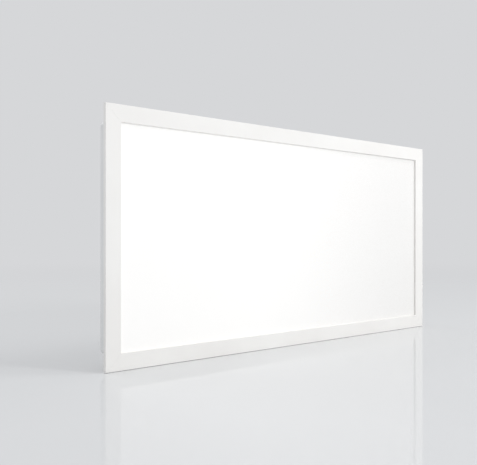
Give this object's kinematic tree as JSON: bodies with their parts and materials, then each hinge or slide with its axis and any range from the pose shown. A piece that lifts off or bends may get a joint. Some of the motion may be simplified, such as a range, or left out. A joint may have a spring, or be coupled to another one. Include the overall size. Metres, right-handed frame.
{
  "type": "led panel light",
  "caption": "Slim recessed ceiling light: a mitred white frame round an opal diffuser, with a shallow steel pan, driver box and swing-out clips behind.",
  "frame": {"origin": "centre of the light opening in the plane of the frame's front face", "axes": "+X along the panel's length, +Z along its short side, -Y the way the light shines; depth runs towards +Y"},
  "size_m": [0.595, 0.0728, 0.295],
  "materials": {
    "white_powder_coat": "fine satin powder coat on extruded aluminium",
    "white_steel_sheet": "satin pre-painted steel sheet",
    "opal_diffuser": "opal acrylic with a fine matt texture, lit from behind",
    "grey_foam": "closed-cell foam strip",
    "white_reflector": "matt white reflector sheet",
    "white_board": "white solder mask on an aluminium-core board",
    "phosphor": "silicone phosphor in a white package",
    "clear_lens": "clear moulded acrylic",
    "white_nylon": "natural white nylon",
    "aluminium_rivet": "bare aluminium",
    "zinc_steel": "bright zinc plate",
    "tinned_copper": "tin plate",
    "black_plastic": "fine-textured moulded nylon",
    "grey_plastic": "moulded polyamide",
    "orange_plastic": "moulded",
    "white_plastic": "moulded",
    "black_rubber": "moulded",
    "brown_insulation": "brown PVC insulation",
    "blue_insulation": "blue PVC insulation",
    "red_insulation": "red PVC insulation",
    "black_insulation": "black PVC insulation",
    "white_insulation": "white PVC insulation",
    "earth_insulation": "green and yellow PVC insulation",
    "green_board": "green solder mask on glass-fibre laminate",
    "ferrite": "sintered ferrite",
    "yellow_tape": "polyester winding tape"
  },
  "bodies": {
    "panel": {"back_pan": "white_steel_sheet", "blanking_plug": "black_plastic", "board_connectors": "white_nylon", "board_rivets": "aluminium_rivet", "board_standoffs": "white_nylon", "cable_clamp_bar": "grey_plastic", "cable_clamp_base": "grey_plastic", "cable_clamp_screws": "zinc_steel", "capacitors": "aluminium_rivet", "clip_rivets": "zinc_steel", "corner_keys": "aluminium_rivet", "corner_screws": "zinc_steel", "dc_lead_negative": "black_insulation", "dc_lead_positive": "red_insulation", "diffuser": "opal_diffuser", "diffuser_gasket": "grey_foam", "driver_board": "green_board", "driver_box_screws": "zinc_steel", "driver_channel": "white_steel_sheet", "driver_end_plates": "white_steel_sheet", "earth_lead": "earth_insulation", "earth_lug": "tinned_copper", "earth_nut": "zinc_steel", "earth_stud": "zinc_steel", "fastener_keeper": "zinc_steel", "frame_rail_bottom": "white_powder_coat", "frame_rail_top": "white_powder_coat", "frame_stile_left": "white_powder_coat", "frame_stile_right": "white_powder_coat", "hanger_nuts": "zinc_steel", "heat_sink": "aluminium_rivet", "hinge_pins": "zinc_steel", "inlet_bushing": "black_plastic", "jumper_leads": "white_insulation", "lead_grommet": "black_rubber", "led_boards": "white_board", "led_connectors": "white_nylon", "led_lenses": "clear_lens", "led_packages": "phosphor", "live_lead": "brown_insulation", "neutral_lead": "blue_insulation", "pan_screws": "zinc_steel", "reflector_posts": "white_nylon", "reflector_tray": "white_reflector", "switch_bodies": "black_plastic", "terminal_block": "grey_plastic", "transformer_bobbin": "black_plastic", "transformer_coil": "yellow_tape", "transformer_core": "ferrite"},
    "cover": {"driver_cover": "white_steel_sheet"},
    "fastener": {"cover_fastener": "black_plastic"},
    "colour_selector": {"colour_slider": "white_plastic"},
    "power_selector": {"power_slider": "white_plastic"},
    "release_live": {"release_button_live": "orange_plastic"},
    "release_neutral": {"release_button_neutral": "orange_plastic"},
    "release_earth": {"release_button_earth": "orange_plastic"},
    "hold_down_top_left": {"clip_top_left": "zinc_steel"},
    "hold_down_top_right": {"clip_top_right": "zinc_steel"},
    "hold_down_bottom_left": {"clip_bottom_left": "zinc_steel"},
    "hold_down_bottom_right": {"clip_bottom_right": "zinc_steel"}
  },
  "joints": [
    {"name": "cover_hinge", "type": "hinge", "parent": "panel", "child": "cover", "pos_m": [0, 0.0658, 0.0335], "axis": [1, 0, 0], "range_deg": [0, 110]},
    {"name": "fastener_turn", "type": "hinge", "parent": "cover", "child": "fastener", "pos_m": [-0.05, 0.0705, -0.022], "axis": [0, -1, 0], "range_deg": [0, 90]},
    {"name": "colour_select", "type": "slide", "parent": "panel", "child": "colour_selector", "axis": [1, 0, 0], "range_m": [-0.0025, 0.0025]},
    {"name": "power_select", "type": "slide", "parent": "panel", "child": "power_selector", "axis": [1, 0, 0], "range_m": [-0.0025, 0.0025]},
    {"name": "release_live_press", "type": "slide", "parent": "panel", "child": "release_live", "axis": [0, -1, 0], "range_m": [0, 0.0015], "stiffness_N_per_m": 800, "springref_m": -0.001},
    {"name": "release_neutral_press", "type": "slide", "parent": "panel", "child": "release_neutral", "axis": [0, -1, 0], "range_m": [0, 0.0015], "stiffness_N_per_m": 800, "springref_m": -0.001},
    {"name": "release_earth_press", "type": "slide", "parent": "panel", "child": "release_earth", "axis": [0, -1, 0], "range_m": [0, 0.0015], "stiffness_N_per_m": 800, "springref_m": -0.001},
    {"name": "hold_down_top_left_swing", "type": "hinge", "parent": "panel", "child": "hold_down_top_left", "pos_m": [-0.19, 0.0412, 0.1185], "axis": [0, -1, 0], "range_deg": [0, 90]},
    {"name": "hold_down_top_right_swing", "type": "hinge", "parent": "panel", "child": "hold_down_top_right", "pos_m": [0.19, 0.0412, 0.1185], "axis": [0, 1, 0], "range_deg": [0, 90]},
    {"name": "hold_down_bottom_left_swing", "type": "hinge", "parent": "panel", "child": "hold_down_bottom_left", "pos_m": [-0.19, 0.0412, -0.1185], "axis": [0, 1, 0], "range_deg": [0, 90]},
    {"name": "hold_down_bottom_right_swing", "type": "hinge", "parent": "panel", "child": "hold_down_bottom_right", "pos_m": [0.19, 0.0412, -0.1185], "axis": [0, -1, 0], "range_deg": [0, 90]}
  ]
}
